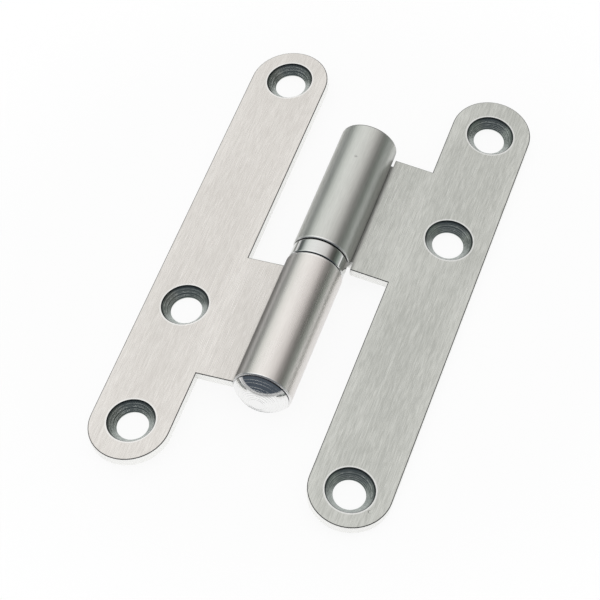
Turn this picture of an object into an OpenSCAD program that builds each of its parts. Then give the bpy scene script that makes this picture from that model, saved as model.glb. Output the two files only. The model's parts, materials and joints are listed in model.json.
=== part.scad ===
// Lift-off pivot hinge for a door or a shutter: two leaves with rolled knuckles,
// a domed pin held in the lower knuckle and a bearing ring between the knuckles.
// Origin on the pivot axis, half way along the leaves. The axis runs along Y.
// The hinge lies open on a bench: the barrel and both outer leaf edges touch it.

/* [Leaves] */
// Length of each leaf from round end to round end
leaf_length = 100; // [90:1:130]
// Width across both leaves when they lie in one plane
open_width = 58; // [56:1:80]
// Width of the long strip that takes the screws
strip_width = 15.5; // [14:0.5:18]
// Thickness of the sheet that both leaves are cut from
sheet_t = 2; // [1.8:0.1:2.2]
// Gap between the front faces of the leaves when they are folded together
leaf_gap = 1.5; // [1:0.1:2]
// Radius that breaks the sheared edges of the sheet
edge_r = 0.25; // [0.1:0.05:0.4]
// Width, along the axis, of the tab that the knuckle is rolled from
tab_length = 27.4; // [22:0.1:32]
// Gap between the facing edges of the two tabs
tab_gap = 2.9; // [2.4:0.1:3.4]
// Depth of the slots that free the rolled end from the tab's two ends
relief_depth = 1.7; // [1:0.1:2.5]

/* [Knuckles] */
// Outer diameter of the rolled knuckles
knuckle_d = 11.2; // [10:0.1:12]
// How far each knuckle runs out past the end of its tab
knuckle_reach = 1.35; // [0.8:0.05:2]
// Radius of the back bend where the leaf turns into the knuckle
root_bend_r = 2.2; // [1.6:0.1:3]
// Radius that breaks the outer rims of the knuckles
rim_r = 0.4; // [0.2:0.05:0.6]
// Chamfer at the mouths of the bore
mouth_chamfer = 0.3; // [0.1:0.05:0.5]
// Open seam left where the rolled edge comes down onto the bend
seam_gap = 0.3; // [0.2:0.05:0.5]
// Radius of the two corners cut off the rolled edge
seam_corner_r = 1.8; // [0.8:0.1:2.4]

/* [Screw holes] */
// From the plain end of the leaf to the centre of the nearest hole
plain_end_hole = 7.5; // [7:0.1:12]
// From the knuckle's end of the leaf to the centre of the nearest hole
knuckle_end_hole = 8.4; // [7:0.1:12]
// From the middle of the leaf to the centre of the middle hole
middle_hole = 14.9; // [12:0.1:20]
// Diameter of the screw holes
hole_d = 6; // [4:0.1:6.4]
// Full angle of the countersinks
sink_angle = 82; // [75:1:100]
// Length of the straight wall left below each countersink
sink_land = 0.2; // [0.2:0.05:1]

/* [Pin] */
// Radial clearance of the pin in the upper knuckle and the ring
pin_clearance = 0.08; // [0.05:0.01:0.1]
// Depth of the pin's end below the open mouth of the upper knuckle
pin_recess = 2; // [1:0.1:6]
// Chamfer at the pin's end
pin_chamfer = 1; // [0.5:0.1:1.5]
// Height of the domed head below the lower knuckle
head_height = 2.8; // [2.4:0.1:4.8]
// Height of the straight rim under the dome
head_rim = 0.25; // [0.25:0.05:1]
// Radius that breaks the edge of the head against the knuckle
head_edge_r = 0.15; // [0.1:0.05:0.2]
// How far the head's rim stands inside the knuckle's outer surface
head_step = 0.3; // [0:0.05:0.5]

/* [Bearing ring] */
// Length of the bearing ring
ring_length = 3.2; // [2:0.1:4]
// Radius that breaks the outer edges of the ring
ring_edge_r = 0.35; // [0.2:0.05:0.6]
// How far the ring stands inside the knuckles' outer surface
ring_step = 0.15; // [0:0.05:0.4]
// Axial play on each side of the ring
ring_play = 0.1; // [0.05:0.01:0.15]

/* [Hidden] */
$fn = 96;
// Extra length of the cutting tools past the surfaces that they cut
over = 1;
// How far the back bend sinks into the round of the knuckle, so that they cross
bend_sink = 0.02;

knuckle_r = knuckle_d / 2;
bore_r = knuckle_r - sheet_t;
leaf_front = -leaf_gap / 2;
leaf_back = leaf_front - sheet_t;
outer_edge = open_width / 2;
end_r = strip_width / 2;
strip_x = outer_edge - end_r;
end_y = leaf_length / 2 - end_r;

// The knuckles stand back from the middle by half the ring and its play
knuckle_start = ring_length / 2 + ring_play;
tab_start = tab_gap / 2;
tab_end = tab_start + tab_length;
knuckle_end = tab_end + knuckle_reach;
knuckle_length = knuckle_end - knuckle_start;

// Centre of the back bend, which is tangent to the leaf's back and meets the knuckle
bend_z = leaf_back - root_bend_r;
bend_span = knuckle_r + root_bend_r - bend_sink;
bend_x = sqrt(pow(bend_span, 2) - pow(bend_z, 2));
bend_outer_r = root_bend_r + sheet_t;

// Angles, seen from the axis, of the start of the roll and of its rolled edge: the
// outer corner of that edge stands off the bend's front by the seam gap
roll_start = atan2(bend_z, bend_x);
seam_reach = bend_outer_r + seam_gap;
seam_cos = (pow(knuckle_r, 2) + pow(bend_span, 2) - pow(seam_reach, 2)) / (2 * knuckle_r * bend_span);
roll_edge = roll_start + acos(seam_cos);

sink_depth = sheet_t - sink_land;
sink_d = hole_d + 2 * sink_depth * tan(sink_angle / 2);

pin_r = bore_r - pin_clearance;
pin_end = knuckle_end - pin_recess;
head_r = knuckle_r - head_step;
dome_height = head_height - head_rim;
dome_r = (pow(head_r, 2) + pow(dome_height, 2)) / (2 * dome_height);

ring_r = knuckle_r - ring_step;

// Angle that each leaf hangs below level, so that its outer edge meets the bench
// that the barrel lies on
rest_droop = asin(knuckle_r / norm([outer_edge, leaf_back])) - atan2(-leaf_back, outer_edge);

// A rectangle from corner a to corner b with its corners rounded to r
module round_box(a, b, r) {
  difference() {
    translate(a)
      square(b - a);
    for (x = [0, 1], y = [0, 1])
      translate([x ? b[0] : a[0], y ? b[1] : a[1]])
        difference() {
          square(2 * r, center = true);
          translate([x ? -r : r, y ? -r : r])
            circle(r);
        }
  }
}

// Turns a form that stands on Z so that it points along +Y
module along_y() {
  rotate([-90, 0, 0])
    children();
}

// The long strip with its two half-round ends
module strip() {
  translate([strip_x, 0, 0]) {
    rotate([90, 0, 0])
      linear_extrude(2 * end_y, center = true)
        round_box([-end_r, leaf_back], [end_r, leaf_front], edge_r);
    for (turn = [0, 180])
      rotate([0, 0, turn])
        translate([0, end_y, 0])
          rotate_extrude(angle = 180)
            intersection() {
              round_box([-end_r, leaf_back], [end_r, leaf_front], edge_r);
              translate([0, leaf_back - over])
                square([end_r + over, sheet_t + 2 * over]);
            }
  }
}

// The tab that joins the strip to the knuckle
module tab() {
  rotate([90, 0, 90])
    translate([0, 0, bend_x])
      linear_extrude(strip_x - bend_x)
        round_box([tab_start, leaf_back], [tab_end, leaf_front], edge_r);
}

// The rolled tube with both rims rounded
module tube() {
  along_y()
    translate([0, 0, knuckle_start])
      rotate_extrude()
        intersection() {
          round_box([-knuckle_r, 0], [knuckle_r, knuckle_length], rim_r);
          square([knuckle_r + over, knuckle_length]);
        }
}

// Draws a form in the section across the axis, and gives it its length along Y
module across(from, to) {
  translate([0, from, 0])
    rotate([90, 0, 180])
      mirror([1, 0, 0])
        linear_extrude(to - from)
          children();
}

// The sheet's own bend, from the flat of the tab round its back into the knuckle
module root_bend() {
  across(tab_start + relief_depth, tab_end - relief_depth) {
    difference() {
      intersection() {
        polygon([[bend_x, bend_z], [0, 0], [0, knuckle_r], [bend_x, knuckle_r]]);
        translate([bend_x, bend_z])
          circle(bend_outer_r);
      }
      translate([bend_x, bend_z])
        circle(root_bend_r);
    }
    translate([bend_x, leaf_back])
      square([over, sheet_t]);
  }
}

// The open wedge between the bend's front and the rolled edge
module crevice() {
  across(knuckle_start - over, knuckle_end + over)
    polygon([[0, 0], [bend_x, bend_z], [bend_x, bend_x * tan(roll_edge)]]);
}

// The bore of the knuckle with a small chamfer at each mouth
module bore() {
  along_y() {
    translate([0, 0, knuckle_start - over])
      cylinder(h = knuckle_length + 2 * over, r = bore_r);
    translate([0, 0, knuckle_start - over])
      cylinder(h = mouth_chamfer + over, r1 = bore_r + mouth_chamfer + over, r2 = bore_r);
    translate([0, 0, knuckle_end - mouth_chamfer])
      cylinder(h = mouth_chamfer + over, r1 = bore_r, r2 = bore_r + mouth_chamfer + over);
  }
}

// Rounds off the two corners of the rolled edge
module seam_corners() {
  seam_z = knuckle_r * sin(roll_edge);
  reach = knuckle_r + over;
  for (end = [0, 1])
    translate([bore_r / 2, end ? knuckle_end : knuckle_start, seam_z])
      mirror([0, end ? 1 : 0, 0])
        difference() {
          translate([0, -over, -over])
            cube([reach, seam_corner_r + over, seam_corner_r + over]);
          translate([-over, seam_corner_r, seam_corner_r])
            rotate([0, 90, 0])
              cylinder(h = reach + 2 * over, r = seam_corner_r);
          translate([-over, seam_corner_r, -2 * over])
            cube([reach + 2 * over, seam_corner_r, seam_corner_r + 2 * over]);
        }
}

// The knuckle: a tube left open along its seam
module knuckle() {
  difference() {
    tube();
    crevice();
    seam_corners();
  }
}

// One countersunk screw hole, sunk from the front face
module screw_hole() {
  translate([0, 0, leaf_back - over])
    cylinder(h = sheet_t + 2 * over, d = hole_d);
  translate([0, 0, leaf_front - sink_depth])
    cylinder(h = sink_depth, d1 = hole_d, d2 = sink_d);
  translate([0, 0, leaf_front])
    cylinder(h = over, d = sink_d);
}

// One whole leaf, level, with its knuckle towards +Y and its strip towards +X
module leaf() {
  difference() {
    union() {
      strip();
      tab();
      root_bend();
      knuckle();
    }
    bore();
    for (y = [plain_end_hole - leaf_length / 2, middle_hole, leaf_length / 2 - knuckle_end_hole])
      translate([strip_x, y, 0])
        screw_hole();
  }
}

// The leaf that the other one is lifted off, with its knuckle towards -Y
module lower_leaf() {
  color("silver")
    rotate([0, 0, 180])
      rotate([0, rest_droop, 0])
        leaf();
}

// The leaf that turns on the pin and lifts off it
module upper_leaf() {
  color("darkgray")
    rotate([0, rest_droop, 0])
      leaf();
}

// The turned pin: tight in the lower knuckle, running in the ring and the upper knuckle
module pin() {
  color("gainsboro")
    along_y() {
      translate([0, 0, -knuckle_end - head_edge_r])
        cylinder(h = knuckle_length + head_edge_r, r = bore_r);
      translate([0, 0, -knuckle_start])
        cylinder(h = knuckle_start + pin_end - pin_chamfer, r = pin_r);
      translate([0, 0, pin_end - pin_chamfer])
        cylinder(h = pin_chamfer, r1 = pin_r, r2 = pin_r - pin_chamfer);
      translate([0, 0, -knuckle_end])
        mirror([0, 0, 1])
          head();
    }
}

// The domed head, with its flat side at Z = 0
module head() {
  rotate_extrude()
    intersection() {
      round_box([-head_r, 0], [head_r, head_height + head_edge_r], head_edge_r);
      translate([0, head_height - dome_r])
        circle(dome_r);
      square([head_r + over, head_height]);
    }
}

// The loose ring that carries the upper knuckle
module bearing_ring() {
  color("lightgray")
    along_y()
      rotate_extrude()
        intersection() {
          round_box([-ring_r, -ring_length / 2], [ring_r, ring_length / 2], ring_edge_r);
          translate([bore_r, -ring_length / 2])
            square([ring_r - bore_r, ring_length]);
        }
}

lower_leaf();
upper_leaf();
pin();
bearing_ring();
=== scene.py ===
"""Dresses the lift-off pivot hinge: brushed leaves, a turned pin and ring, and a white bench.

Lengths are in millimetres until they reach Blender, which works in metres.
"""

import json
import logging
import math
from dataclasses import dataclass, field
from enum import Enum
from typing import Any

import bpy
from mathutils import Matrix, Vector

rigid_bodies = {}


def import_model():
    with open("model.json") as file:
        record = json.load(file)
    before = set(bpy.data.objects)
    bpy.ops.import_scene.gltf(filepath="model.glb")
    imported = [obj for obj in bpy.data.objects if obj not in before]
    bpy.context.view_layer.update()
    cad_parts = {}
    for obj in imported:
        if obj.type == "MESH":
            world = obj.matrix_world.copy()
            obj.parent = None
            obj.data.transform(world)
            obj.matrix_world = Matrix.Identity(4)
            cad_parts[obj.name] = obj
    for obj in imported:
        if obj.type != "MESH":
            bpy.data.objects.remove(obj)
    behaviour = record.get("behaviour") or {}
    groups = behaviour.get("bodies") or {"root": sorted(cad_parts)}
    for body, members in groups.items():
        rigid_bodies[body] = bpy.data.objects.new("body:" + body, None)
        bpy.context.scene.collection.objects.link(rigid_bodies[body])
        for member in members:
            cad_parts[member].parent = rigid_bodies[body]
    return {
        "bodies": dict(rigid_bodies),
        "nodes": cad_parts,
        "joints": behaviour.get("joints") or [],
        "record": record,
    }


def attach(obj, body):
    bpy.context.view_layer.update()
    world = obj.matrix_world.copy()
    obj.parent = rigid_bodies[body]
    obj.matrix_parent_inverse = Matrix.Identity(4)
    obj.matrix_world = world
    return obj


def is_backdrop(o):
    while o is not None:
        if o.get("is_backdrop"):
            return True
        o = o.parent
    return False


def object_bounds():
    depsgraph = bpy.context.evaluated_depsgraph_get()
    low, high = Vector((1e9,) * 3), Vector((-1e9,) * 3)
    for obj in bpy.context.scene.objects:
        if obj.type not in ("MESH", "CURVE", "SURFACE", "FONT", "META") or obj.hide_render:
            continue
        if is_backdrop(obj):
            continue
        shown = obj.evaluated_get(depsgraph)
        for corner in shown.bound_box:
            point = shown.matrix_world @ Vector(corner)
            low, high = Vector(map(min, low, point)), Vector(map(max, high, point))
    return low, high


LOG = logging.getLogger("hinge")
MM = 0.001

# Red, green, blue and alpha
Colour = tuple[float, float, float, float]
# Where a smooth step starts and ends
Span = tuple[float, float]


class Side(Enum):
    """The side of the pivot line that a leaf lies on."""

    LEFT = -1
    RIGHT = 1


class Value:
    """One number socket that Python's operators extend with Math nodes."""

    def __init__(self, maker: "NodeMaker", socket: bpy.types.NodeSocket) -> None:
        """Wraps a socket.

        Args:
            maker: the tree that new nodes go in.
            socket: the output socket that holds the number.
        """
        self.maker = maker
        self.socket = socket

    def _math(self, operation: str, *others: Any) -> "Value":
        """Adds a Math node.

        Args:
            operation: the node's operation.
            others: the second and third operands, as numbers or values.

        Returns:
            The node's result.
        """
        inputs = {0: self}
        inputs.update({i + 1: other for i, other in enumerate(others)})
        node = self.maker.make("ShaderNodeMath", {"operation": operation}, inputs)
        return Value(self.maker, node.outputs[0])

    def __add__(self, other: Any) -> "Value":
        """Sum."""
        return self._math("ADD", other)

    def __radd__(self, other: Any) -> "Value":
        """Sum, reflected."""
        return self._math("ADD", other)

    def __sub__(self, other: Any) -> "Value":
        """Difference."""
        return self._math("SUBTRACT", other)

    def __rsub__(self, other: Any) -> "Value":
        """Difference, reflected."""
        return (self * -1.0) + other

    def __mul__(self, other: Any) -> "Value":
        """Product."""
        return self._math("MULTIPLY", other)

    def __rmul__(self, other: Any) -> "Value":
        """Product, reflected."""
        return self._math("MULTIPLY", other)

    def __truediv__(self, other: Any) -> "Value":
        """Quotient."""
        return self._math("DIVIDE", other)

    def __pow__(self, other: Any) -> "Value":
        """Power."""
        return self._math("POWER", other)

    def sine(self) -> "Value":
        """Sine of an angle in radians."""
        return self._math("SINE")

    def root(self) -> "Value":
        """Square root."""
        return self._math("SQRT")

    def least(self, other: Any) -> "Value":
        """The lesser of the two."""
        return self._math("MINIMUM", other)

    def most(self, other: Any) -> "Value":
        """The greater of the two."""
        return self._math("MAXIMUM", other)

    def angle_from(self, other: "Value") -> "Value":
        """Angle whose tangent is this value over the other one."""
        return self._math("ARCTAN2", other)

    def ramp(self, start: float, end: float) -> "Value":
        """A smooth step from 0 to 1.

        Args:
            start: where the step starts.
            end: where it ends, which may be below start.

        Returns:
            The eased value.
        """
        node = self.maker.make(
            "ShaderNodeMapRange",
            {"interpolation_type": "SMOOTHSTEP"},
            {"Value": self, "From Min": start, "From Max": end, "To Min": 0.0, "To Max": 1.0},
        )
        return Value(self.maker, node.outputs[0])

    def step(self, mark: float, span: Span) -> "Value":
        """A smooth step from 0 to 1 near a mark.

        Args:
            mark: where the span is measured from.
            span: where the step starts and ends, from the mark.

        Returns:
            The eased value.
        """
        return self.ramp(mark + span[0], mark + span[1])


class NodeMaker:
    """Fills one shader or geometry tree."""

    def __init__(self, tree: bpy.types.NodeTree) -> None:
        """Empties the tree.

        Args:
            tree: a material's, the world's or a geometry modifier's node tree.
        """
        self.tree = tree
        tree.nodes.clear()

    def make(self, kind: str, settings: dict[str, Any], inputs: dict[Any, Any]) -> bpy.types.Node:
        """Adds one node.

        Args:
            kind: the node's type.
            settings: the node's own settings, set first.
            inputs: for each input's name or number, a number, colour, value or socket.

        Returns:
            The node.
        """
        node = self.tree.nodes.new(kind)
        for name, setting in settings.items():
            if name == "stops":
                self._set_stops(node, setting)
            else:
                setattr(node, name, setting)
        for key, given in inputs.items():
            if isinstance(given, Value):
                given = given.socket
            if isinstance(given, bpy.types.NodeSocket):
                self.tree.links.new(given, node.inputs[key])
            else:
                node.inputs[key].default_value = given
        return node

    @staticmethod
    def _set_stops(node: bpy.types.Node, stops: list[tuple[float, tuple[float, ...]]]) -> None:
        """Sets a colour ramp's stops.

        Args:
            node: the ramp.
            stops: the place and colour of each stop, in rising order.
        """
        elements = node.color_ramp.elements
        while len(elements) < len(stops):
            elements.new(1.0)
        for element, (place, colour) in zip(elements, stops):
            element.position = place
            element.color = colour

    def value(self, node: bpy.types.Node, output: Any = 0) -> Value:
        """One output of a node as a value."""
        return Value(self, node.outputs[output])

    def object_mm(self) -> bpy.types.NodeSocket:
        """The piece's own coordinates in millimetres."""
        place = self.make("ShaderNodeTexCoord", {}, {})
        scaled = self.make(
            "ShaderNodeVectorMath", {"operation": "SCALE"}, {0: place.outputs["Object"], "Scale": 1 / MM}
        )
        return scaled.outputs[0]

    def split(self, vector: bpy.types.NodeSocket) -> tuple[Value, Value, Value]:
        """The three parts of a vector."""
        node = self.make("ShaderNodeSeparateXYZ", {}, {0: vector})
        return self.value(node, 0), self.value(node, 1), self.value(node, 2)

    def join(self, x: Any, y: Any, z: Any) -> bpy.types.NodeSocket:
        """A vector from three parts."""
        return self.make("ShaderNodeCombineXYZ", {}, {0: x, 1: y, 2: z}).outputs[0]

    def noise(self, vector: bpy.types.NodeSocket, detail: float, roughness: float) -> Value:
        """Noise between 0 and 1.

        Args:
            vector: where it is read, one unit to a blotch.
            detail: the number of finer layers.
            roughness: how strong the finer layers are.

        Returns:
            The noise.
        """
        node = self.make(
            "ShaderNodeTexNoise",
            {"noise_dimensions": "3D"},
            {"Vector": vector, "Scale": 1.0, "Detail": detail, "Roughness": roughness},
        )
        return self.value(node, 0)

    def blend(self, share: Any, a: Any, b: Any) -> bpy.types.NodeSocket:
        """A colour between two.

        Args:
            share: 0 for the first colour, 1 for the second.
            a: the first colour, or a socket.
            b: the second colour, or a socket.

        Returns:
            The mixed colour.
        """
        node = self.make(
            "ShaderNodeMix",
            {"data_type": "RGBA", "clamp_factor": True},
            {"Factor": share, 6: a, 7: b},
        )
        return node.outputs[2]

    def distance(self, place: bpy.types.NodeSocket, centre: tuple[float, float, float]) -> Value:
        """Distance of a place from a fixed point.

        Args:
            place: the place.
            centre: the point.

        Returns:
            The distance.
        """
        node = self.make("ShaderNodeVectorMath", {"operation": "DISTANCE"}, {0: place, 1: centre})
        return self.value(node, "Value")

    def ray_kind(self) -> tuple[Value, Value]:
        """Tells where a ray comes from.

        Returns:
            1 for a ray from the camera or through glass, and 1 for a ray that metal mirrors.
        """
        path = self.make("ShaderNodeLightPath", {}, {})
        direct = self.value(path, "Is Camera Ray").most(self.value(path, "Is Transmission Ray"))
        return direct, self.value(path, "Is Glossy Ray")

    def metal(self, colour: bpy.types.NodeSocket, metallic: Any, roughness: Value, height: Value) -> None:
        """Ends a material in one metal shader on a bumped surface.

        Args:
            colour: the base colour.
            metallic: how far it is metal, as a number or a value.
            roughness: the roughness.
            height: the height of the bumps, in millimetres.
        """
        bump = self.make("ShaderNodeBump", {}, {"Strength": 1.0, "Distance": MM, "Height": height})
        shader = self.make(
            "ShaderNodeBsdfPrincipled",
            {},
            {"Base Color": colour, "Metallic": metallic, "Roughness": roughness, "Normal": bump.outputs[0]},
        )
        self.make("ShaderNodeOutputMaterial", {}, {"Surface": shader.outputs[0]})


def grey(level: float) -> Colour:
    """A neutral, solid colour of the given brightness."""
    return (level, level, level, 1.0)


def new_material(name: str) -> tuple[bpy.types.Material, NodeMaker]:
    """Makes an empty material.

    Args:
        name: its name.

    Returns:
        The material, and the maker that fills its tree.
    """
    material = bpy.data.materials.new(name)
    material.use_nodes = True
    return material, NodeMaker(material.node_tree)


def add_object(name: str, data: bpy.types.ID) -> bpy.types.Object:
    """Adds an object to the scene.

    Args:
        name: its name.
        data: its mesh, lamp or camera data.

    Returns:
        The object.
    """
    thing = bpy.data.objects.new(name, data)
    bpy.context.scene.collection.objects.link(thing)
    return thing


@dataclass(frozen=True)
class HingeSizes:
    """Sizes that the finishes follow, in millimetres and degrees."""

    knuckle_r: float = 5.6  # Radius of a knuckle's outer face
    open_half: float = 29.0  # Distance from the pivot line to a leaf's outer edge
    strip_width: float = 15.5  # Width of the strip that takes the screws
    front: float = -0.75  # Height of a leaf's front face in its own level frame
    back: float = -2.75  # Height of its back face there
    sink_r: float = 4.565  # Radius of a countersink at the front face
    hole_r: float = 3.0  # Radius of a screw hole
    sink_half_angle: float = 41.0  # Angle between a countersink's wall and its axis
    holes: tuple[float, float, float] = (-42.5, 14.9, 41.6)  # Places of the screw holes along a leaf
    knuckle_start: float = 1.7  # Where a knuckle starts, beside the bearing ring
    knuckle_end: float = 30.2  # Where it ends
    bend_x: float = 6.03  # How far out from the pivot line the back bend reaches
    head_r: float = 5.3  # Radius of the pin's head
    head_tip: float = 33.0  # Distance from the origin to the tip of the head
    dome_r: float = 6.783  # Radius of the ball that the head's dome is cut from

    @property
    def strip_x(self) -> float:
        """Distance from the pivot line to the line of screws."""
        return self.open_half - self.strip_width / 2

    @property
    def droop(self) -> float:
        """Angle that each leaf hangs below level, in radians."""
        reach = math.hypot(self.open_half, self.back)
        return math.asin(self.knuckle_r / reach) - math.atan2(-self.back, self.open_half)

    @property
    def sink_slope(self) -> float:
        """Rise of a countersink's wall for each millimetre further from its axis."""
        return 1 / math.tan(math.radians(self.sink_half_angle))

    def in_leaf(self, side: "Side", out: float, along: float, up: float) -> Vector:
        """Turns a place in a leaf's own level frame into one in the hinge's.

        Args:
            side: the side that the leaf lies on.
            out: distance out from the pivot line.
            along: place along it from the plain end towards the knuckle's end.
            up: height.

        Returns:
            The place, in millimetres.
        """
        sign, cos_a, sin_a = float(side.value), math.cos(self.droop), math.sin(self.droop)
        return Vector((sign * (out * cos_a + up * sin_a), sign * along, up * cos_a - out * sin_a))


@dataclass(frozen=True)
class LeafSpans:
    """Where the marks on a leaf start and end, in millimetres unless said."""

    # Up from the back face and from the front face
    off_back: Span = (0.02, 0.06)
    near_front: Span = (-0.30, -0.12)
    # Out from a countersink's edge: its wall, the painted highlight on the lip round it and the painted
    # shade in its throat
    sink_wall: Span = (0.04, -0.05)
    sink_lip_highlight: Span = (0.36, 0.20)
    sink_throat_shade: Span = (-0.34, -0.14)
    # Out from the knuckle's face and from the back bend, and the height of the bend's front side
    round_face: Span = (0.30, 0.05)
    bend: Span = (0.6, -0.3)
    bend_front: Span = (-2.2, -1.2)
    # Angle round the pivot line, in degrees, over which the shaded corner fades below the seam
    under_seam: Span = (-60.0, -10.0)
    # Along from the end of the slot beside the bearing ring: the slot's painted shade and the painted
    # highlight past it
    slot: Span = (0.0, -0.08)
    slot_shine: Span = (0.42, 0.26)
    # Along from the knuckle's far end, where the rim's painted reflection lies
    end_rim: Span = (-0.42, -0.28)
    # Out from the strip's long edges: the inner and the outer side of the lighter band there
    belt_inner: Span = (-3.2, -0.8)
    belt_outer: Span = (2.4, 0.2)
    # Square of how level a face is: upright walls and rounded edges
    upright: Span = (0.45, 0.10)
    rounded: Span = (0.996, 0.88)
    # Noise level at which a scratch starts and is full
    scratch: Span = (0.64, 0.72)


@dataclass(frozen=True)
class LeafTints:
    """Colours of the marks on a leaf, among them painted highlights and painted shade, and how strongly some
    of them cover the steel.
    """

    round_share: float = 0.6
    # Painted highlight round each countersink's edge and past the slot beside the bearing ring
    lip_highlight: Colour = grey(0.98)
    lip_highlight_share: float = 0.50
    # Painted shade on the rounded edges of the faces
    edge: Colour = grey(0.05)
    edge_shade_share: float = 0.92
    # Painted shade just inside each countersink's edge
    throat_shade: Colour = (0.025, 0.035, 0.040, 1.0)
    throat_shade_share: float = 0.92
    # Sheared edge walls: bare steel, lightened to near white as a painted highlight
    sheared_highlight: Colour = (0.97, 0.97, 0.95, 1.0)
    # Painted shade in the corner by the seam and in the bend's valley
    corner: Colour = grey(0.03)
    # Painted shade in the slot beside the bearing ring
    slot: Colour = grey(0.04)
    # Share of the painted reflection at the knuckle's far end
    rim_reflection_share: float = 0.70


@dataclass(frozen=True)
class Brushing:
    """How strongly each kind of noise shows on a leaf."""

    # Shares of the fine and the broad lines in the grain
    fine: float = 0.72
    broad: float = 0.28
    # Tone: its middle, what clouds and the band along an edge add, and what a scratch takes
    mid_tone: float = 0.42
    cloud_tone: float = 0.8
    belt_tone: float = 0.25
    scratch_tone: float = 0.5
    # Roughness that clouds, broad lines, scratches and the shaded corner add
    cloud_rough: float = 0.10
    broad_rough: float = 0.12
    scratch_rough: float = 0.08
    corner_rough: float = 0.12
    # Height of the grain and depth of a knock, in millimetres
    grain_height: float = 0.0050
    knock_depth: float = 0.09
    # Share of a knock's radius that is its flat bottom
    knock_floor: float = 0.35


@dataclass(frozen=True)
class CutterMarks:
    """The fine rings that a cutter leaves in a countersink, in millimetres, on a wall painted dark as shade.
    """

    pitch: float = 0.24
    ring_share: float = 0.55
    wobble_share: float = 0.45
    # Blotches of the wobble in a millimetre, outwards and round
    wobble_out: float = 6.0
    wobble_round: float = 0.4
    roughness: float = 0.26
    rough_spread: float = 0.10
    height: float = 0.0090
    # Steel of the wall and of the rings, both painted darker than the leaf as shade in the countersink
    dark: Colour = (0.20, 0.23, 0.22, 1.0)
    light: Colour = (0.54, 0.58, 0.55, 1.0)


@dataclass(frozen=True)
class LeafPoint:
    """A point in a leaf's own level frame, in millimetres."""

    out: Value  # Distance out from the pivot line
    along: Value  # Place along it from the plain end towards the knuckle's end
    up: Value  # Height
    hole: Value  # Distance from the axis of the nearest screw hole


@dataclass(frozen=True)
class LeafMasks:
    """The parts of a leaf: each is 1 where that part shows."""

    round_part: Value  # The outer face of the knuckle
    sunk: Value  # The wall of a countersink
    corner: Value  # Painted shade in the corner beside the seam and in the valley of the back bend
    slot: Value  # Painted shade in the slot beside the bearing ring
    slot_highlight: Value  # Painted highlight past that slot
    rim_reflection: Value  # Painted reflection at the far end of the knuckle, dark on the upper leaf and bright on the lower
    sheared_highlight: Value  # The upright edge walls, lightened to near white as a painted highlight
    edge: Value  # Painted shade on the rounded edges of the faces
    lip_highlight: Value  # Painted highlight on the lip round a countersink
    throat_shade: Value  # Painted shade in the throat of a countersink
    belt: Value  # The lighter band along each long edge of the strip


@dataclass(frozen=True)
class LeafGrain:
    """The noise on a leaf."""

    lines: Value  # The brushed grain, about zero
    broad: Value  # Broad lines
    cloud: Value  # Soft clouds
    scratch: Value  # Single scratches
    turned: Value  # The cutter's marks in a countersink


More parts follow.
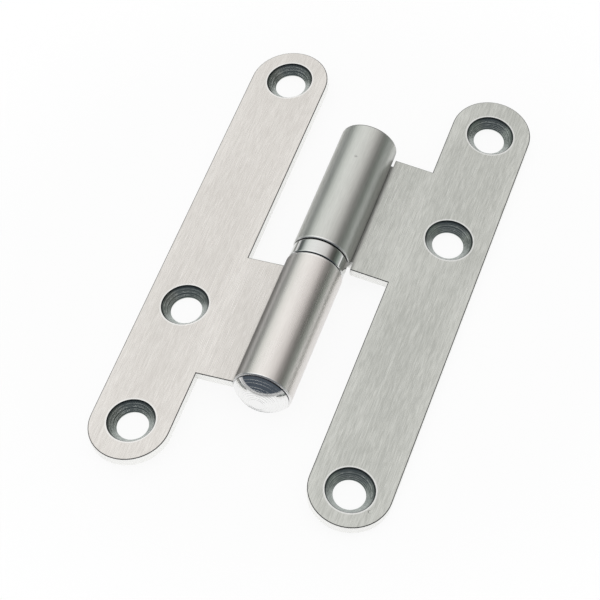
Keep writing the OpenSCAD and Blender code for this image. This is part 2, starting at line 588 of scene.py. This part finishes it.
@dataclass(frozen=True)
class BrushedSteel:
    """Satin sheet steel, brushed along the leaves, with turned countersinks, and with painted shade and
    painted highlights at its seam, slot, edges, countersinks and knuckle's end.
    """

    name: str
    side: Side
    sizes: HingeSizes
    colour: Colour  # The steel at its lightest
    streak_colour: Colour  # The steel in its darkest streaks
    round_colour: Colour  # The knuckle's steel
    seed: float  # Shift of the noise, in millimetres
    # Place and radius of each small knock, in millimetres
    knocks: tuple[tuple[float, float, float, float], ...] = ()
    roughness: float = 0.27  # Roughness of the flats
    shade_reach: float = 26.0  # Angle round the pivot line where the corner's painted shade starts, in degrees
    shade_full: float = -5.0  # Angle where it is full, in degrees
    shade: float = 0.45  # How dark the painted shade in the corner is
    grain: float = 3.6  # Contrast of the grain
    round_rough: float = 0.08  # Roughness that the knuckle adds
    rim_reflection_level: float = 0.10  # Brightness of the painted reflection at the knuckle's far end
    slot_shade_width: float = 0.11  # Width of the painted shade in the slot beside the bearing ring, in millimetres
    flat_metal: float = 0.70  # How far the flats are metal, which scatter some light
    round_metal: float = 0.95  # How far the knuckle and the countersinks are metal
    spans: LeafSpans = LeafSpans()
    tints: LeafTints = LeafTints()
    brushing: Brushing = Brushing()
    cutter: CutterMarks = CutterMarks()

    def _point(self, maker: NodeMaker, place: bpy.types.NodeSocket) -> LeafPoint:
        """Turns a place into the leaf's own level frame.

        Args:
            maker: the tree.
            place: the piece's coordinates in millimetres.

        Returns:
            The point.
        """
        x, y, z = maker.split(place)
        sign = float(self.side.value)
        cos_a, sin_a = math.cos(self.sizes.droop), math.sin(self.sizes.droop)
        out = x * (sign * cos_a) - z * sin_a
        along = y * sign
        up = x * (sign * sin_a) + z * cos_a
        flat = maker.join(out, along, 0.0)
        nearest: Value | None = None
        for hole in self.sizes.holes:
            gap = maker.distance(flat, (self.sizes.strip_x, hole, 0.0))
            nearest = gap if nearest is None else nearest.least(gap)
        return LeafPoint(out, along, up, nearest)

    def _level(self, maker: NodeMaker) -> Value:
        """How level the surface is.

        Args:
            maker: the tree.

        Returns:
            The height of its normal in the leaf's frame, squared.
        """
        facing = maker.make("ShaderNodeTexCoord", {}, {})
        x, _, z = maker.split(facing.outputs["Normal"])
        sign = float(self.side.value)
        level = x * (sign * math.sin(self.sizes.droop)) + z * math.cos(self.sizes.droop)
        return level * level

    def _corner_shade(self, at: LeafPoint, round_part: Value) -> Value:
        """Painted shade in the corner beside the seam and in the valley of the back bend.

        Args:
            at: the point.
            round_part: the outer face of the knuckle.

        Returns:
            How strongly the painted shade covers the point.
        """
        spans = self.spans
        turn = at.up.angle_from(at.out)
        corner = turn.ramp(math.radians(self.shade_reach), math.radians(self.shade_full))
        corner = corner * turn.ramp(*(math.radians(angle) for angle in spans.under_seam))
        root = at.out.step(self.sizes.bend_x, spans.bend) * at.up.ramp(*spans.bend_front)
        return (corner * round_part).most(root * (1.0 - round_part))

    def _masks(self, maker: NodeMaker, at: LeafPoint) -> LeafMasks:
        """Finds the parts of the leaf.

        Args:
            maker: the tree.
            at: the point.

        Returns:
            The masks.
        """
        sizes, spans = self.sizes, self.spans
        sunk = at.hole.step(sizes.sink_r, spans.sink_wall) * at.up.step(sizes.back, spans.off_back)
        radius = (at.out * at.out + at.up * at.up).root()
        round_part = radius.step(sizes.knuckle_r, spans.round_face)
        # End of the painted shade in the slot beside the bearing ring, and the shade itself
        slot_end = sizes.knuckle_start + self.slot_shade_width
        slot = at.along.step(slot_end, spans.slot) * round_part
        level = self._level(maker)
        flat_part = (1.0 - round_part) * (1.0 - sunk)
        # The sheared walls, which get a painted highlight
        sheared_highlight = level.ramp(*spans.upright) * flat_part
        at_front = at.up.step(sizes.front, spans.near_front)
        off_centre = ((at.out - sizes.strip_x) ** 2.0).root()
        half = sizes.strip_width / 2
        return LeafMasks(
            round_part=round_part,
            sunk=sunk,
            corner=self._corner_shade(at, round_part),
            slot=slot,
            slot_highlight=at.along.step(slot_end, spans.slot_shine) * round_part * (1.0 - slot),
            rim_reflection=at.along.step(sizes.knuckle_end, spans.end_rim) * round_part,
            sheared_highlight=sheared_highlight,
            edge=level.ramp(*spans.rounded) * flat_part * (1.0 - sheared_highlight),
            lip_highlight=at.hole.step(sizes.sink_r, spans.sink_lip_highlight) * (1.0 - sunk) * at_front,
            throat_shade=at.hole.step(sizes.sink_r, spans.sink_throat_shade) * sunk,
            belt=off_centre.step(half, spans.belt_inner) * off_centre.step(half, spans.belt_outer),
        )

    def _grain(self, maker: NodeMaker, place: bpy.types.NodeSocket, at: LeafPoint) -> LeafGrain:
        """Makes the noise: long along the leaf and fine across it, and rings in the countersinks.

        Args:
            maker: the tree.
            place: the piece's coordinates in millimetres.
            at: the same point in the leaf's frame.

        Returns:
            The noise.
        """
        shifted = maker.make(
            "ShaderNodeVectorMath", {"operation": "ADD"}, {0: place, 1: (self.seed, 3 * self.seed, 0.0)}
        ).outputs[0]

        def stretched(across: float, length: float, detail: float) -> Value:
            """Noise drawn out along the leaf.

            Args:
                across: blotches in a millimetre across the grain.
                length: blotches in a millimetre along it.
                detail: finer layers.

            Returns:
                The noise.
            """
            scaled = maker.make(
                "ShaderNodeVectorMath", {"operation": "MULTIPLY"}, {0: shifted, 1: (across, length, across)}
            ).outputs[0]
            return maker.noise(scaled, detail, roughness=0.6)

        fine = stretched(across=6.5, length=0.42, detail=3.0)
        broad = stretched(across=2.4, length=0.10, detail=2.0)
        cutter = self.cutter
        rings = (at.hole * (2 * math.pi / cutter.pitch)).sine() * 0.5 + 0.5
        round_the_hole = maker.join(
            at.hole * cutter.wobble_out, at.along * cutter.wobble_round, at.out * cutter.wobble_round
        )
        wobble = maker.noise(round_the_hole, detail=2.0, roughness=0.6)
        return LeafGrain(
            lines=(fine - 0.5) * self.brushing.fine + (broad - 0.5) * self.brushing.broad,
            broad=broad,
            cloud=stretched(across=0.09, length=0.05, detail=2.0),
            scratch=stretched(across=7.0, length=0.30, detail=1.0).ramp(*self.spans.scratch),
            turned=rings * cutter.ring_share + wobble * cutter.wobble_share,
        )

    def _colour(self, maker: NodeMaker, masks: LeafMasks, grain: LeafGrain) -> bpy.types.NodeSocket:
        """Colours the leaf, part by part, laying on its painted highlights and painted shade.

        Args:
            maker: the tree.
            masks: the parts of the leaf.
            grain: the noise.

        Returns:
            The colour.
        """
        brushing, tints = self.brushing, self.tints
        tone = grain.lines * self.grain + (grain.cloud - 0.5) * brushing.cloud_tone
        tone = tone + masks.belt * brushing.belt_tone + brushing.mid_tone
        tone = tone * (1.0 - grain.scratch * brushing.scratch_tone)
        colour = maker.blend(tone, self.streak_colour, self.colour)
        # The countersink's wall: the cutter's rings on steel painted dark as shade
        cut = maker.blend(grain.turned, self.cutter.dark, self.cutter.light)
        # Painted highlights and painted shade laid over the steel, mark by mark
        layers = (
            (masks.round_part * tints.round_share, self.round_colour),
            (masks.lip_highlight.most(masks.slot_highlight) * tints.lip_highlight_share, tints.lip_highlight),
            (masks.edge * tints.edge_shade_share, tints.edge),
            (masks.sunk, cut),
            (masks.throat_shade * tints.throat_shade_share, tints.throat_shade),
            (masks.sheared_highlight, tints.sheared_highlight),
            (masks.corner * self.shade, tints.corner),
            (masks.slot, tints.slot),
            (masks.rim_reflection * tints.rim_reflection_share, grey(self.rim_reflection_level)),
        )
        for share, tint in layers:
            colour = maker.blend(share, colour, tint)
        return colour

    def _roughness(self, masks: LeafMasks, grain: LeafGrain) -> Value:
        """Roughness of the flats, the knuckle and the countersinks.

        Args:
            masks: the parts of the leaf.
            grain: the noise.

        Returns:
            The roughness.
        """
        brushing, cutter = self.brushing, self.cutter
        flat = (grain.cloud - 0.5) * brushing.cloud_rough + (grain.broad - 0.5) * brushing.broad_rough
        flat = flat + grain.scratch * brushing.scratch_rough + self.roughness
        flat = flat + masks.corner * brushing.corner_rough + masks.round_part * self.round_rough
        cut = grain.turned * cutter.rough_spread + cutter.roughness
        return flat * (1.0 - masks.sunk) + cut * masks.sunk

    def _height(
        self, maker: NodeMaker, place: bpy.types.NodeSocket, masks: LeafMasks, grain: LeafGrain
    ) -> Value:
        """Height of the grain, the cutter's marks and the knocks, which are round hollows.

        Args:
            maker: the tree.
            place: the piece's coordinates in millimetres.
            masks: the parts of the leaf.
            grain: the noise.

        Returns:
            The height in millimetres.
        """
        brushing = self.brushing
        height = grain.lines * (1.0 - masks.sunk) * brushing.grain_height
        height = height + grain.turned * masks.sunk * self.cutter.height
        dent: Value | None = None
        for *centre, size in self.knocks:
            one = maker.distance(place, tuple(centre)).ramp(size, size * brushing.knock_floor)
            dent = one if dent is None else dent.most(one)
        return height if dent is None else height - dent * brushing.knock_depth

    def build(self) -> bpy.types.Material:
        """Makes the material.

        Returns:
            The material.
        """
        material, maker = new_material(self.name)
        place = maker.object_mm()
        at = self._point(maker, place)
        masks = self._masks(maker, at)
        grain = self._grain(maker, place, at)
        bare = masks.round_part.most(masks.sunk)
        maker.metal(
            colour=self._colour(maker, masks, grain),
            metallic=bare * (self.round_metal - self.flat_metal) + self.flat_metal,
            roughness=self._roughness(masks, grain),
            height=self._height(maker, place, masks, grain),
        )
        return material


@dataclass(frozen=True)
class TurnedSteel:
    """Polished steel, turned about the pivot line, with fine lathe rings and a band of painted shade."""

    name: str
    colour: Colour  # The steel at its lightest
    roughness: float
    pitch: float  # Distance between the lathe rings, in millimetres
    depth: float  # Depth of the rings, in millimetres
    shade_band: Span  # Distances either way along from the origin between which a band of painted shade runs
    dull: float = 0.66  # Brightness of the steel where it is dullest
    # Colour of the painted shade band
    shade_colour: Colour = (0.035, 0.040, 0.055, 1.0)
    shade_fade: float = 0.08  # Width over which the painted shade band fades in
    lathe_share: float = 0.6  # Share of the lathe rings in the tone
    smear_share: float = 0.4  # Share of the smears in it
    smears: float = 0.5  # Smears in a millimetre
    lathe_rough: float = 0.08  # How far the rings change the roughness
    smear_rough: float = 0.12  # How far the smears change it
    smear_depth: float = 0.5  # Depth of the smears as a share of the rings' depth

    def build(self) -> bpy.types.Material:
        """Makes the material.

        Returns:
            The material.
        """
        material, maker = new_material(self.name)
        x, y, z = maker.split(maker.object_mm())
        radius = (x * x + z * z).root()
        lathe = maker.noise(
            maker.join(radius * (1 / self.pitch), y * (1 / self.pitch), 0.0), detail=3.0, roughness=0.6
        )
        smear = maker.noise(
            maker.join(x * self.smears, y * self.smears, z * self.smears), detail=3.0, roughness=0.55
        )
        tone = lathe * self.lathe_share + smear * self.smear_share
        colour = maker.blend(tone, grey(self.dull), self.colour)
        reach = (y * y).root()
        # A band of painted shade beside the gaps between parts
        start, end = self.shade_band
        shaded = reach.ramp(start, start + self.shade_fade) * reach.ramp(end, end - self.shade_fade)
        maker.metal(
            colour=maker.blend(shaded, colour, self.shade_colour),
            metallic=1.0,
            roughness=(lathe - 0.5) * self.lathe_rough + (smear - 0.5) * self.smear_rough + self.roughness,
            height=lathe * self.depth + smear * (self.depth * self.smear_depth),
        )
        return material


@dataclass(frozen=True)
class RidgeSteel:
    """Bright steel on the crests that a cutter leaves, dulled in patches."""

    name: str
    crest: Colour  # The steel at its brightest
    dulled: Colour  # The steel in a dull patch
    roughness: float = 0.24  # Its roughness
    patch: Span = (0.35, 0.65)  # Noise level at which a dull patch ends and the bright steel is full
    rough_spread: float = 0.16  # How far the patches change the roughness
    height: float = 0.004  # Height of the patches, in millimetres

    def build(self) -> bpy.types.Material:
        """Makes the material.

        Returns:
            The material.
        """
        material, maker = new_material(self.name)
        patch = maker.noise(maker.object_mm(), detail=3.0, roughness=0.6)
        maker.metal(
            colour=maker.blend(patch.ramp(*self.patch), self.dulled, self.crest),
            metallic=1.0,
            roughness=(patch - 0.5) * self.rough_spread + self.roughness,
            height=patch * self.height,
        )
        return material


@dataclass
class TurnedRings:
    """Fine raised rings that a cutter leaves round each of several centres.

    A ring of radius r stands on the surface at height slope * (r - outer) plus the height of a
    crown of the given radius, so that one rule serves a countersink's cone and a domed head.
    """

    name: str
    body: str
    slot: str
    finish: RidgeSteel
    centres: list[Vector]  # The centre of each set of rings, in millimetres
    turn: tuple[float, float, float]  # The turn of each set, in radians
    inner: float  # Radius inside the innermost ring, in millimetres
    outer: float  # Radius outside the outermost ring, in millimetres
    count: int  # Rings in a set
    bead: float  # Radius of a ring's own section, in millimetres
    slope: float = 0.0  # Rise for each millimetre outwards
    crown: float = 0.0  # Radius of the ball that the rings stand on, in millimetres
    seed: int = 3  # Seed of the uneven feed
    stray: float = 0.32  # How far a ring may stray from its even place, in ring gaps
    ring_sides: int = 72  # Sides of a ring
    bead_sides: int = 6  # Sides of its section

    def _tree(self) -> tuple[bpy.types.NodeTree, dict[str, str]]:
        """Builds the geometry tree.

        Returns:
            The tree, and the identifier of each named input.
        """
        tree = bpy.data.node_groups.new(self.name, "GeometryNodeTree")
        maker = NodeMaker(tree)
        kinds = {
            "Centres": "NodeSocketGeometry",
            "Turn": "NodeSocketVector",
            "Inner Radius": "NodeSocketFloat",
            "Outer Radius": "NodeSocketFloat",
            "Rings": "NodeSocketInt",
            "Slope": "NodeSocketFloat",
            "Crown Radius": "NodeSocketFloat",
            "Bead Radius": "NodeSocketFloat",
            "Seed": "NodeSocketInt",
            "Finish": "NodeSocketMaterial",
        }
        names = {
            label: tree.interface.new_socket(name=label, in_out="INPUT", socket_type=kind).identifier
            for label, kind in kinds.items()
        }
        tree.interface.new_socket(name="Rings", in_out="OUTPUT", socket_type="NodeSocketGeometry")
        given = maker.make("NodeGroupInput", {}, {})
        inner, outer, rings, slope, crown = (
            maker.value(given, label)
            for label in ("Inner Radius", "Outer Radius", "Rings", "Slope", "Crown Radius")
        )

        # The radius and height of each ring, with a little unevenness in the feed
        index = maker.value(maker.make("GeometryNodeInputIndex", {}, {}))
        stray = maker.value(
            maker.make(
                "FunctionNodeRandomValue",
                {"data_type": "FLOAT"},
                {2: -self.stray, 3: self.stray, "Seed": given.outputs["Seed"]},
            ),
            1,
        )
        inside = (index + 0.5 + stray) / rings
        radius = inner + (outer - inner) * inside
        height = slope * (radius - outer) + (crown * crown - radius * radius).most(0.0).root()

        feed = maker.make(
            "GeometryNodePoints", {}, {"Count": rings.socket, "Position": maker.join(0.0, 0.0, height)}
        )
        circle = maker.make(
            "GeometryNodeCurvePrimitiveCircle", {}, {"Resolution": self.ring_sides, "Radius": 1.0}
        )
        one_set = maker.make(
            "GeometryNodeInstanceOnPoints",
            {},
            {
                "Points": feed.outputs[0],
                "Instance": circle.outputs[0],
                "Scale": maker.join(radius, radius, 1.0),
            },
        )
        whole = maker.make("GeometryNodeRealizeInstances", {}, {0: one_set.outputs[0]})
        bead = maker.make(
            "GeometryNodeCurvePrimitiveCircle",
            {},
            {"Resolution": self.bead_sides, "Radius": given.outputs["Bead Radius"]},
        )
        swept = maker.make("GeometryNodeCurveToMesh", {}, {0: whole.outputs[0], 1: bead.outputs[0]})
        placed = maker.make(
            "GeometryNodeInstanceOnPoints",
            {},
            {
                "Points": given.outputs["Centres"],
                "Instance": swept.outputs[0],
                "Rotation": given.outputs["Turn"],
            },
        )
        real = maker.make("GeometryNodeRealizeInstances", {}, {0: placed.outputs[0]})
        done = maker.make(
            "GeometryNodeSetMaterial", {}, {"Geometry": real.outputs[0], "Material": given.outputs["Finish"]}
        )
        maker.make("NodeGroupOutput", {}, {0: done.outputs[0]})
        return tree, names

    def build(self, frame: dict[str, Any]) -> list[str]:
        """Makes the rings as one plain mesh.

        Args:
            frame: the loaded frame, which is not used.

        Returns:
            The name of the piece.
        """
        del frame
        points = bpy.data.meshes.new(f"{self.name}_centres")
        points.from_pydata([centre * MM for centre in self.centres], [], [])
        carrier = add_object(f"{self.name}_centres", points)
        modifier = carrier.modifiers.new(self.name, "NODES")
        modifier.node_group, names = self._tree()
        sizes = {
            "Turn": self.turn,
            "Inner Radius": self.inner * MM,
            "Outer Radius": self.outer * MM,
            "Rings": self.count,
            "Slope": self.slope,
            "Crown Radius": self.crown * MM,
            "Bead Radius": self.bead * MM,
            "Seed": self.seed,
            "Finish": self.finish.build(),
        }
        for label, size in sizes.items():
            modifier[names[label]] = size
        layer = bpy.context.evaluated_depsgraph_get()
        mesh = bpy.data.meshes.new_from_object(carrier.evaluated_get(layer))
        carrier.modifiers.remove(modifier)
        bpy.data.objects.remove(carrier)
        mesh.name = self.name
        piece = add_object(self.name, mesh)
        mesh.shade_smooth()
        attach(piece, self.body)
        return [self.name]


def dress(node: bpy.types.Object, material: bpy.types.Material) -> None:
    """Gives a carried-over solid its finish.

    Args:
        node: the solid.
        material: the finish.
    """
    if not node.material_slots:
        node.data.materials.append(material)
    for spot in node.material_slots:
        spot.material = material


@dataclass
class Leaf:
    """One leaf: its strip, tab and rolled knuckle in one sheet."""

    node: str
    body: str
    finish: BrushedSteel

    def build(self, frame: dict[str, Any]) -> list[str]:
        """Dresses the leaf.

        Args:
            frame: the loaded frame.

        Returns:
            The names of its pieces.
        """
        dress(frame["nodes"][self.node], self.finish.build())
        return [self.node]


@dataclass
class Pivot:
    """The turned pin and the bearing ring that runs on it."""

    pin_finish: TurnedSteel
    ring_finish: TurnedSteel
    pin_node: str = "pin"
    ring_node: str = "bearing_ring"

    def build(self, frame: dict[str, Any]) -> list[str]:
        """Dresses the pin and the ring.

        Args:
            frame: the loaded frame.

        Returns:
            The names of their pieces.
        """
        dress(frame["nodes"][self.pin_node], self.pin_finish.build())
        dress(frame["nodes"][self.ring_node], self.ring_finish.build())
        return [self.pin_node, self.ring_node]


@dataclass
class Studio:
    """The white bench, the soft light and the camera, in millimetres and degrees."""

    lowest: float  # Height of the hinge's lowest point, in metres
    bench_gap: float = 0.02  # Gap between that point and the bench
    bench_half: float = 120.0  # Half the bench's width
    bench_fade: Span = (50.0, 92.0)  # Distances from the origin over which the bench fades out
    bench_paint: float = 0.9  # Brightness of its paint
    bench_glow: float = 0.90  # How much of its own white it shows to the camera
    bench_mirrored: float = 0.86  # How much of that white polished metal mirrors
    # What metal mirrors round the pivot line on the far side, as red, green and blue by the angle from
    # +X over the top to -X
    sky: tuple[tuple[float, tuple[float, float, float]], ...] = (
        (0.0, (0.40, 0.45, 0.41)),
        (12.0, (0.160, 0.185, 0.165)),
        (25.0, (0.080, 0.085, 0.075)),
        (37.0, (0.145, 0.140, 0.132)),
        (48.0, (0.37, 0.35, 0.345)),
        (60.0, (0.69, 0.67, 0.66)),
        (73.0, (0.84, 0.82, 0.81)),
        (85.0, (0.91, 0.90, 0.89)),
        (98.0, (0.96, 0.95, 0.94)),
        (112.0, (1.00, 1.00, 0.99)),
        (132.0, (0.97, 0.98, 0.96)),
        (145.0, (0.84, 0.87, 0.84)),
        (157.0, (0.52, 0.55, 0.53)),
        (168.0, (0.15, 0.17, 0.16)),
        (180.0, (0.11, 0.12, 0.12)),
    )
    near_side: tuple[float, float, float] = (0.070, 0.085, 0.105)  # What metal mirrors on the near side
    # Y of a ray's direction at which the near side starts to take over and is full
    near_fade: Span = (-0.20, -0.50)
    below: float = 0.30  # Brightness under the horizon
    # Z of a ray's direction at which that brightness sets in and is full
    below_fade: Span = (0.0, -0.12)
    # Far edges of the table that metal shows as thin lines: the Z of a ray's direction between which
    # each runs, and its brightness
    table_lines: tuple[tuple[float, float, float], ...] = (
        (-0.060, -0.045, 0.70),
        (-0.120, -0.100, 0.80),
    )
    line_blur: float = 0.01  # Z over which a line fades in
    fill: float = 0.85  # Brightness that lights dull surfaces
    camera_place: tuple[float, float, float] = (88.205, -225.571, 338.994)
    camera_azimuth: float = 22.220  # Turn of the camera about the upright
    camera_drop: float = 55.378  # Angle that it looks down by
    camera_roll: float = -3.006
    lens: float = 133.583  # Its focal length
    sensor: float = 36.0  # Width of its sensor
    clip: Span = (10.0, 50000.0)  # Nearest and furthest distance that it shows
    lamp_place: tuple[float, float, float] = (-250.0, -80.0, 1000.0)  # Place of the soft lamp
    lamp_width: float = 1200.0
    lamp_power: float = 0.9  # Its power in watts

    def _camera(self) -> None:
        """Makes the camera."""
        data = bpy.data.cameras.new("camera")
        data.sensor_width = self.sensor
        data.lens = self.lens
        data.clip_start, data.clip_end = (distance * MM for distance in self.clip)
        camera = add_object("camera", data)
        turn = math.radians(self.camera_azimuth)
        drop = math.radians(self.camera_drop)
        roll = math.radians(self.camera_roll)
        right = Vector((math.cos(turn), math.sin(turn), 0.0))
        ahead = Vector((-math.sin(turn), math.cos(turn), 0.0))
        forward = ahead * math.cos(drop) - Vector((0.0, 0.0, math.sin(drop)))
        down = -ahead * math.sin(drop) - Vector((0.0, 0.0, math.cos(drop)))
        side = right * math.cos(roll) - down * math.sin(roll)
        low = right * math.sin(roll) + down * math.cos(roll)
        axes = Matrix((side, -low, -forward)).transposed().to_4x4()
        camera.matrix_world = Matrix.Translation(Vector(self.camera_place) * MM) @ axes
        bpy.context.scene.camera = camera

    def _world(self) -> None:
        """Makes the white backdrop and the soft light that metal shows."""
        world = bpy.data.worlds.new("studio")
        world.use_nodes = True
        bpy.context.scene.world = world
        maker = NodeMaker(world.node_tree)
        place = maker.make("ShaderNodeTexCoord", {}, {})
        x, y, z = maker.split(place.outputs["Generated"])
        angle = z.most(0.0).angle_from(x) / math.pi
        stops = [(degrees / 180.0, (*colour, 1.0)) for degrees, colour in self.sky]
        far_side = maker.make("ShaderNodeValToRGB", {"stops": stops}, {"Fac": angle})
        lit = maker.blend(y.ramp(*self.near_fade), far_side.outputs[0], (*self.near_side, 1.0))
        backdrop = maker.blend(z.ramp(*self.below_fade), lit, grey(self.below))
        for low, high, level in self.table_lines:
            line = z.ramp(low - self.line_blur, low) * z.ramp(high + self.line_blur, high)
            backdrop = maker.blend(line, backdrop, grey(level))
        direct, mirrored = maker.ray_kind()
        soft = maker.blend(mirrored, grey(self.fill), backdrop)
        colour = maker.blend(direct, soft, grey(1.0))
        light = maker.make("ShaderNodeBackground", {}, {"Color": colour, "Strength": 1.0})
        maker.make("ShaderNodeOutputWorld", {}, {"Surface": light.outputs[0]})

    def _bench_material(self) -> bpy.types.Material:
        """Makes the bench's white, which fades out beyond the hinge.

        Returns:
            The material.
        """
        material, maker = new_material("white_bench")
        paint = maker.make("ShaderNodeBsdfDiffuse", {}, {"Color": grey(self.bench_paint)})
        glow = maker.make("ShaderNodeEmission", {}, {"Color": grey(1.0), "Strength": 1.0})
        direct, mirrored = maker.ray_kind()
        seen = (direct * self.bench_glow).most(mirrored * self.bench_mirrored)
        both = maker.make("ShaderNodeMixShader", {}, {0: seen, 1: paint.outputs[0], 2: glow.outputs[0]})
        x, y, _ = maker.split(maker.object_mm())
        fade = (x * x + y * y).root().ramp(*self.bench_fade)
        clear = maker.make("ShaderNodeBsdfTransparent", {}, {})
        top = maker.make("ShaderNodeMixShader", {}, {0: fade, 1: both.outputs[0], 2: clear.outputs[0]})
        maker.make("ShaderNodeOutputMaterial", {}, {"Surface": top.outputs[0]})
        return material

    def _bench(self) -> None:
        """Makes the bench top."""
        half, z = self.bench_half * MM, self.lowest - self.bench_gap * MM
        mesh = bpy.data.meshes.new("bench")
        mesh.from_pydata(
            [(-half, -half, z), (half, -half, z), (half, half, z), (-half, half, z)], [], [(0, 1, 2, 3)]
        )
        mesh.materials.append(self._bench_material())
        add_object("bench", mesh)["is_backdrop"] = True

    def _softbox(self) -> None:
        """Makes the one soft lamp, overhead and a little to the left."""
        data = bpy.data.lights.new("softbox", "AREA")
        data.shape = "DISK"
        data.size = self.lamp_width * MM
        data.energy = self.lamp_power
        lamp = add_object("softbox", data)
        place = Vector([distance * MM for distance in self.lamp_place])
        lamp.location = place
        lamp.rotation_mode = "QUATERNION"
        lamp.rotation_quaternion = (-place).to_track_quat("-Z", "Y")

    def build(self) -> None:
        """Sets up the whole studio."""
        bpy.context.scene.view_settings.view_transform = "Standard"
        self._camera()
        self._world()
        self._bench()
        self._softbox()


@dataclass
class Hinge:
    """The whole hinge, in millimetres."""

    sizes: HingeSizes = field(default_factory=HingeSizes)
    sink_rim_gap: float = 0.42  # Plain band between a countersink's edge and the cutter's rings
    sink_hole_gap: float = 0.10  # Plain band between those rings and the hole
    head_plain_r: float = 1.2  # Radius of the plain middle of the pin's head
    head_rim_gap: float = 0.25  # Plain band between the head's edge and its lathe rings

    def _lower_leaf(self) -> Leaf:
        """The lower leaf, painted lighter than the upper one: the leaves are lit and shaded copies of one
        steel.
        """
        finish = BrushedSteel(
            name="brushed_steel_lower",
            side=Side.LEFT,
            sizes=self.sizes,
            # The lit copy of the leaves' steel, painted lighter than the upper leaf's
            colour=(0.805, 0.775, 0.745, 1.0),
            streak_colour=(0.660, 0.630, 0.600, 1.0),
            round_colour=(0.815, 0.785, 0.760, 1.0),
            seed=17.0,
            # Painted shade in the corner by the seam, reaching further round than on the upper leaf
            shade_reach=64.0,
            shade_full=32.0,
            shade=0.80,
            round_rough=0.02,
            # Wider painted shade in the slot beside the bearing ring
            slot_shade_width=0.24,
            # Painted highlight at the knuckle's far end
            rim_reflection_level=0.95,
        )
        return Leaf("lower_leaf", "lower", finish)

    def _upper_leaf(self) -> Leaf:
        """The upper leaf, painted darker than the lower one, with a small knock near its plain end and one
        on its knuckle.
        """
        finish = BrushedSteel(
            name="brushed_steel_upper",
            side=Side.RIGHT,
            sizes=self.sizes,
            # The shaded copy of the same steel, painted darker than the lower leaf's
            colour=(0.655, 0.665, 0.630, 1.0),
            streak_colour=(0.470, 0.480, 0.450, 1.0),
            round_colour=(0.665, 0.675, 0.650, 1.0),
            seed=61.0,
            knocks=((25.70, -45.33, -3.30, 0.42), (0.02, 22.24, 5.60, 0.30)),
        )
        return Leaf("upper_leaf", "upper", finish)

    def _pivot(self) -> Pivot:
        """The pin and the bearing ring."""
        pin = TurnedSteel(
            name="polished_pin",
            colour=(0.98, 0.98, 0.97, 1.0),
            roughness=0.07,
            pitch=0.30,
            depth=0.0012,
            # Painted shade on the pin's neck, between the knuckle's end and the head
            shade_band=(30.12, 30.50),
            dull=0.86,
        )
        ring = TurnedSteel(
            name="turned_ring",
            colour=(0.80, 0.81, 0.79, 1.0),
            roughness=0.08,
            pitch=0.22,
            depth=0.0012,
            # Painted shade at the ring's ends, beside the gaps to the knuckles
            shade_band=(1.48, 2.0),
        )
        return Pivot(pin, ring)

    def _sink_rings(self, side: Side, body: str, finish: RidgeSteel) -> TurnedRings:
        """The cutter's rings in one leaf's countersinks.

        Args:
            side: the side that the leaf lies on.
            body: the leaf's body.
            finish: the crests' finish.

        Returns:
            The rings.
        """
        sizes = self.sizes
        top = sizes.front - self.sink_rim_gap * sizes.sink_slope
        return TurnedRings(
            name=f"{body}_cutter_rings",
            body=body,
            slot="satin_steel",
            finish=finish,
            centres=[sizes.in_leaf(side, sizes.strip_x, hole, top) for hole in sizes.holes],
            turn=(0.0, side.value * sizes.droop, 0.0),
            inner=sizes.hole_r + self.sink_hole_gap,
            outer=sizes.sink_r - self.sink_rim_gap,
            count=5,
            bead=0.022,
            slope=sizes.sink_slope,
            seed=5 + side.value,
        )

    def _head_rings(self) -> TurnedRings:
        """The lathe's rings on the dome of the pin's head."""
        sizes = self.sizes
        return TurnedRings(
            name="head_lathe_rings",
            body="lower",
            slot="polished_steel",
            finish=RidgeSteel("lathe_crests", (0.95, 0.95, 0.94, 1.0), (0.78, 0.78, 0.77, 1.0), 0.14),
            centres=[Vector((0.0, sizes.dome_r - sizes.head_tip, 0.0))],
            turn=(math.pi / 2, 0.0, 0.0),
            inner=self.head_plain_r,
            outer=sizes.head_r - self.head_rim_gap,
            count=9,
            bead=0.018,
            crown=sizes.dome_r,
        )

    def parts(self) -> list[Leaf | Pivot | TurnedRings]:
        """The sub-assemblies in the order that they are built."""
        crest = RidgeSteel("cutter_crests", (0.82, 0.85, 0.83, 1.0), (0.30, 0.33, 0.32, 1.0))
        return [
            self._lower_leaf(),
            self._upper_leaf(),
            self._pivot(),
            self._sink_rings(Side.LEFT, "lower", crest),
            self._sink_rings(Side.RIGHT, "upper", crest),
            self._head_rings(),
        ]


def main() -> None:
    """Builds the scene in order and reports each piece."""
    logging.basicConfig(level=logging.INFO, format="%(name)s: %(message)s")
    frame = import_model()
    cad_box = [list(corner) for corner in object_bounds()]
    for part in Hinge().parts():
        for piece in part.build(frame):
            LOG.info("finished %s", piece)
    Studio(lowest=cad_box[0][2]).build()


if __name__ == "__main__":
    main()
